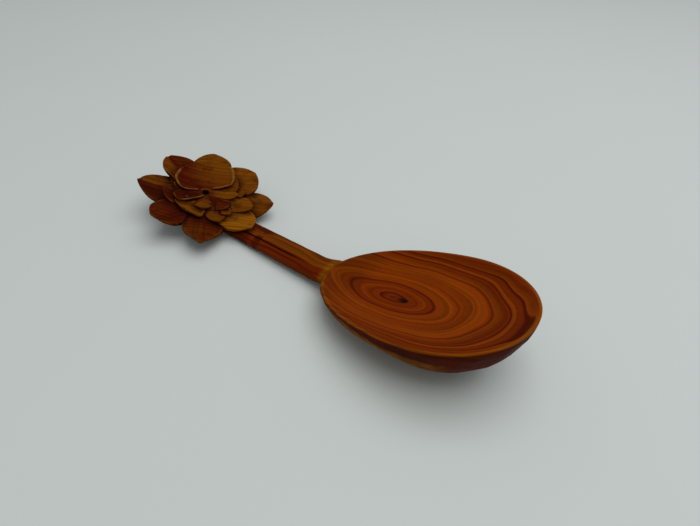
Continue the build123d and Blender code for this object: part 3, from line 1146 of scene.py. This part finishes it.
OUTER_PETALS = petal_rows(
    (212.5, 36.3, 8.6, 11.6, 0.35, 0.50, -0.5, 2.8, 0.0, 0.0, 0.0, 1.00, 0.62, -3.4),
    (257.5, 32.3, 9.6, 9.0, 0.80, 0.65, -0.8, 0.4, -1.6, 0.0, 0.0, 0.97, 0.94, -3.4),
    (311, 36.4, 12.2, 10.8, -0.10, -0.10, -0.7, 1.6, 0.0, 0.0, 0.0, 0.88, 0.80, -3.4),
    (358, 34.6, 9.8, 8.6, 0.70, 0.45, -0.5, 0.2, -1.6, 0.0, 0.0, 0.00, 0.00, -2.8),
    (36, 37.1, 11.0, 10.0, 0.50, 0.45, -0.5, 3.0, 0.0, 0.0, 0.0, 0.40, 0.62, -2.8),
    (79, 33.9, 11.2, 10.8, 0.65, 0.65, -0.7, 0.3, 0.8, 0.0, 0.0, 0.38, 0.48, -3.0),
    (127, 34.1, 10.7, 11.3, 0.50, 0.75, -0.7, 0.3, 0.8, 0.0, 0.0, 0.48, 0.36, -3.0),
    (171, 35.2, 7.8, 9.4, 0.75, 0.40, -0.9, -2.6, 0.0, 0.3, 0.0, 0.55, 0.90, -3.4),
)
MIDDLE_PETALS = petal_rows(
    (222, 22.0, 7.6, 5.4, 0.80, 0.80, 0.0, 1.2, 0.0, 0.0, 0.0, 1.00, 0.88, -0.9),
    (275, 17.4, 9.2, 7.6, 1.00, 0.95, 0.0, 0.2, -1.0, 0.0, 0.0, 0.46, 0.38, -0.7),
    (333, 23.3, 6.0, 4.8, 0.25, 0.30, 0.3, 1.4, 0.0, 0.0, 0.0, 0.68, 0.55, -0.7),
    (353, 20.6, 3.3, 3.0, 0.80, 0.80, 0.1, 0.7, 0.0, 0.0, 0.0, 0.65, 0.60, -0.7),
    (20, 27.0, 7.0, 5.6, 0.80, 0.50, 0.4, 1.2, 0.0, 0.0, 0.0, 0.42, 0.55, -0.7),
    (50, 22.0, 6.5, 4.5, 0.40, 0.40, 0.0, 0.9, 0.0, 0.0, 0.0, 0.60, 0.60, -1.2),
    (100, 22.4, 8.0, 9.5, 0.95, 0.90, -1.0, 0.2, 0.4, 0.0, 0.0, 0.50, 0.50, -2.6),
    (147, 23.4, 8.5, 8.5, 0.95, 0.95, -1.0, 0.2, 0.4, 0.0, 0.0, 0.95, 0.75, -2.6),
    (184, 22.9, 6.5, 6.5, 0.70, 0.70, -0.6, 0.8, 0.0, 0.0, 0.0, 0.95, 1.00, -2.2),
)
INNER_PETALS = petal_rows(
    (144, 25.0, 14.0, 16.5, 0.30, 1.00, 0.5, 0.0, 2.4, 1.0, 1.0, 0.98, 0.44, -0.2),
    (203, 18.0, 4.0, 3.2, 0.80, 0.80, -0.6, 0.0, 0.0, 0.0, 0.0, 0.90, 1.00, -1.0),
    (237, 17.0, 5.8, 4.0, 0.80, 0.60, 0.4, 0.0, 1.6, 1.2, 0.0, 1.00, 1.00, -0.5),
    (308, 13.7, 4.6, 4.6, 0.95, 0.95, 1.1, 0.9, 0.0, 0.0, 0.0, 0.62, 0.52, -0.3),
    (357, 17.0, 4.8, 5.0, 0.70, 0.70, 0.9, 1.3, 0.0, 0.0, 0.0, 1.00, 0.95, -0.3),
    (36, 17.2, 2.6, 2.8, 1.00, 1.00, 1.4, 0.5, 0.0, 0.0, 0.0, 0.30, 0.45, -0.3),
    (60, 18.0, 4.2, 4.2, 0.70, 0.70, -0.2, 0.6, 0.0, 0.0, 0.0, 0.60, 0.60, -0.6),
)
INNER_PETALS[0].update({"Root share": 0.88, "Root lip": 0.8})
TIERS = {
    "outer": (
        OUTER_PETALS,
        {"Root radius": 12.0, "Root share": 0.75, "Root thickness": 7.0, "Tip thickness": 1.4, "Sag": 0.5,
         "Streak": 0.5, "Hand": 0.15},
    ),
    "middle": (
        MIDDLE_PETALS,
        {"Root radius": 8.6, "Root share": 0.75, "Root thickness": 2.0, "Tip thickness": 1.5, "Sag": 0.4,
         "Tip lip": 0.2, "Hand": 0.4},
    ),
    "inner": (
        INNER_PETALS,
        {"Root radius": 2.0, "Root share": 0.6, "Root thickness": 1.2, "Tip thickness": 1.3, "Sag": 0.5,
         "Tip lip": 0.5, "Hand": 0.4},
    ),
}


class SPOON_OT_petals(bpy.types.Operator):
    """Carves the three tiers of petals, each petal a piece of its own"""

    bl_idname = "spoon.petals"
    bl_label = "Petals"

    sharp = radians(38)
    # The painted crease shade: how it fades with distance, and how far below a point another petal may lie
    # and still shade it
    crease_shade_fade = 1.2
    below_share = 20

    def execute(self, context):
        tree = petal_tree()
        pieces = []
        for tier, (petals, common) in TIERS.items():
            for number, own in enumerate(petals, 1):
                sizes = {**dict.fromkeys(TIER_SIZES, 0.0), **common, **own}
                pieces.append(self.carve(context, tree, f"{tier}_petal_{number}", sizes))
        self.paint_crease_shade(context.scene.spoon_flower, pieces)
        return {"FINISHED"}

    def carve(self, context, tree, node, sizes):
        """One petal: the tree's result as a plain mesh."""
        flower = context.scene.spoon_flower
        values = {"Carving": flower.carving, "Pitch": flower.pitch, "Wood": flower_wood()}
        values["Mouth"] = flower_frame(flower) @ Vector()
        for name, size in sizes.items():
            if name == "Azimuth":
                values[name] = radians(size)
            else:
                values[name] = size if name in FACTORS else size * MM
        blank = bpy.data.objects.new(node + "_blank", bpy.data.meshes.new(node + "_blank"))
        context.scene.collection.objects.link(blank)
        modifier = blank.modifiers.new("petal", "NODES")
        modifier.node_group = tree
        for socket in tree.interface.items_tree:
            if socket.in_out == "INPUT" and socket.name in values:
                modifier[socket.identifier] = values[socket.name]
        evaluated = blank.evaluated_get(context.evaluated_depsgraph_get())
        mesh = bpy.data.meshes.new_from_object(evaluated)
        blank.modifiers.remove(modifier)
        bpy.data.objects.remove(blank)
        if not mesh.polygons:
            raise RuntimeError(f"{node} came out empty")
        piece = add_piece(node + "_carving", mesh, self.sharp)
        settle(piece, node)
        return piece

    def paint_crease_shade(self, settings, pieces):
        """Paints shade in the creases: marks how near each point lies to another petal that stands above it
        or beside it.
        """
        lean = flower_frame(settings).to_3x3() @ Vector((0, 0, 1))
        reach = settings.crease_shade_reach
        lowest = -reach / self.below_share
        fade = self.crease_shade_fade
        for piece in pieces:
            corners = []
            faces = []
            for other in pieces:
                if other is not piece:
                    first = len(corners)
                    corners += [vertex.co for vertex in other.data.vertices]
                    faces += [[first + index for index in face.vertices] for face in other.data.polygons]
            tree = BVHTree.FromPolygons(corners, faces)
            recess_shade = []
            for vertex in piece.data.vertices:
                nearest, _, _, distance = tree.find_nearest(vertex.co, reach)
                is_cut = nearest is not None and (nearest - vertex.co).dot(lean) > lowest
                recess_shade.append((1 - distance / reach) ** fade if is_cut else 0.0)
            mark_points(piece, "recess_shade", recess_shade)


class SPOON_OT_stage(bpy.types.Operator):
    """Lays the floor and sets up the soft light and the camera"""

    bl_idname = "spoon.stage"
    bl_label = "Floor, Light and Camera"

    mottle_scale = 6.0
    mottle_detail = 3.0
    mottle_shade = 0.97
    floor_roughness = 0.75
    floor_gloss = 0.1
    room_tint = (0.97, 1.0, 0.99)
    backdrop = 0.6
    nearest_seen = 0.01

    def execute(self, context):
        settings = context.scene.spoon_stage
        self.lay_floor(settings)
        self.hang_lamp(settings)
        self.light_all_round(context.scene, settings)
        self.set_camera(context.scene, settings)
        context.scene.view_settings.view_transform = "Standard"
        return {"FINISHED"}

    def lay_floor(self, settings):
        """A plain pale floor with a faint mottle."""
        material = bpy.data.materials.new("pale_floor")
        bench = cleared(material)
        spot = bench.node("ShaderNodeTexCoord", output="Object")
        mottle = bench.cloud(spot, self.mottle_scale, self.mottle_detail)
        darker = tuple(self.mottle_shade * part for part in settings.floor_colour)
        surface = bench.node(
            "ShaderNodeBsdfPrincipled",
            None,
            {
                "Base Color": bench.blend(mottle, settings.floor_colour, darker),
                "Roughness": self.floor_roughness,
                "Specular IOR Level": self.floor_gloss,
            },
        )
        bench.node("ShaderNodeOutputMaterial", None, {"Surface": surface})
        half = settings.floor_half
        corners = [(-half, -half, 0), (half, -half, 0), (half, half, 0), (-half, half, 0)]
        floor = mesh_piece("floor", corners, [(0, 1, 2, 3)], material, pi)

    def hang_lamp(self, settings):
        """One broad soft lamp, above and to the right."""
        lamp = bpy.data.lights.new("soft_lamp", "AREA")
        lamp.shape = "SQUARE"
        lamp.size = settings.lamp_side
        lamp.energy = settings.lamp_power
        holder = bpy.data.objects.new("soft_lamp", lamp)
        holder.location = settings.lamp_place
        holder.rotation_euler = (-Vector(settings.lamp_place)).to_track_quat("-Z", "Y").to_euler()
        bpy.context.scene.collection.objects.link(holder)

    def light_all_round(self, scene, settings):
        """Even light from the room, with a pale backdrop where the camera looks past the floor."""
        world = bpy.data.worlds.new("room")
        bench = cleared(world)
        seen = bench.node("ShaderNodeLightPath", output="Is Camera Ray")
        strength = seen * self.backdrop + (1 - seen) * settings.sky
        glow = bench.node(
            "ShaderNodeBackground", None, {"Color": opaque(self.room_tint), "Strength": strength}
        )
        bench.node("ShaderNodeOutputWorld", None, {"Surface": glow})
        scene.world = world

    def set_camera(self, scene, settings):
        """The photograph's point of view."""
        camera = bpy.data.cameras.new("camera")
        camera.lens = settings.lens
        camera.clip_start = self.nearest_seen
        holder = bpy.data.objects.new("camera", camera)
        sight = Vector(settings.camera_aim) - Vector(settings.camera_place)
        turn = sight.to_track_quat("-Z", "Y") @ Quaternion((0, 0, 1), settings.camera_roll)
        holder.location = settings.camera_place
        holder.rotation_euler = turn.to_euler()
        scene.collection.objects.link(holder)
        scene.camera = holder


class SPOON_PT_panel(bpy.types.Panel):
    """Lists the steps that build the spoon"""

    bl_idname = "SPOON_PT_panel"
    bl_label = "Love Spoon"
    bl_space_type = "VIEW_3D"
    bl_region_type = "UI"
    bl_category = "Love Spoon"

    def draw(self, context):
        for operator in OPERATORS:
            self.layout.operator(operator.bl_idname)


GROUPS = {
    "spoon_bowl": SpoonBowlSettings,
    "spoon_stem": SpoonStemSettings,
    "spoon_flower": SpoonFlowerSettings,
    "spoon_wood": SpoonWoodSettings,
    "spoon_stage": SpoonStageSettings,
}
OPERATORS = (SPOON_OT_bowl, SPOON_OT_stem, SPOON_OT_seat, SPOON_OT_petals, SPOON_OT_stage)


def register():
    for kind in (*GROUPS.values(), *OPERATORS, SPOON_PT_panel):
        bpy.utils.register_class(kind)
    for name, group in GROUPS.items():
        setattr(bpy.types.Scene, name, PointerProperty(type=group))


def unregister():
    for name in GROUPS:
        delattr(bpy.types.Scene, name)
    for kind in (SPOON_PT_panel, *OPERATORS[::-1], *GROUPS.values()):
        bpy.utils.unregister_class(kind)


def main():
    register()
    bpy.ops.spoon.bowl()
    bpy.ops.spoon.stem()
    bpy.ops.spoon.seat()
    bpy.ops.spoon.petals()
    bpy.ops.spoon.stage()


if __name__ == "__main__":
    main()
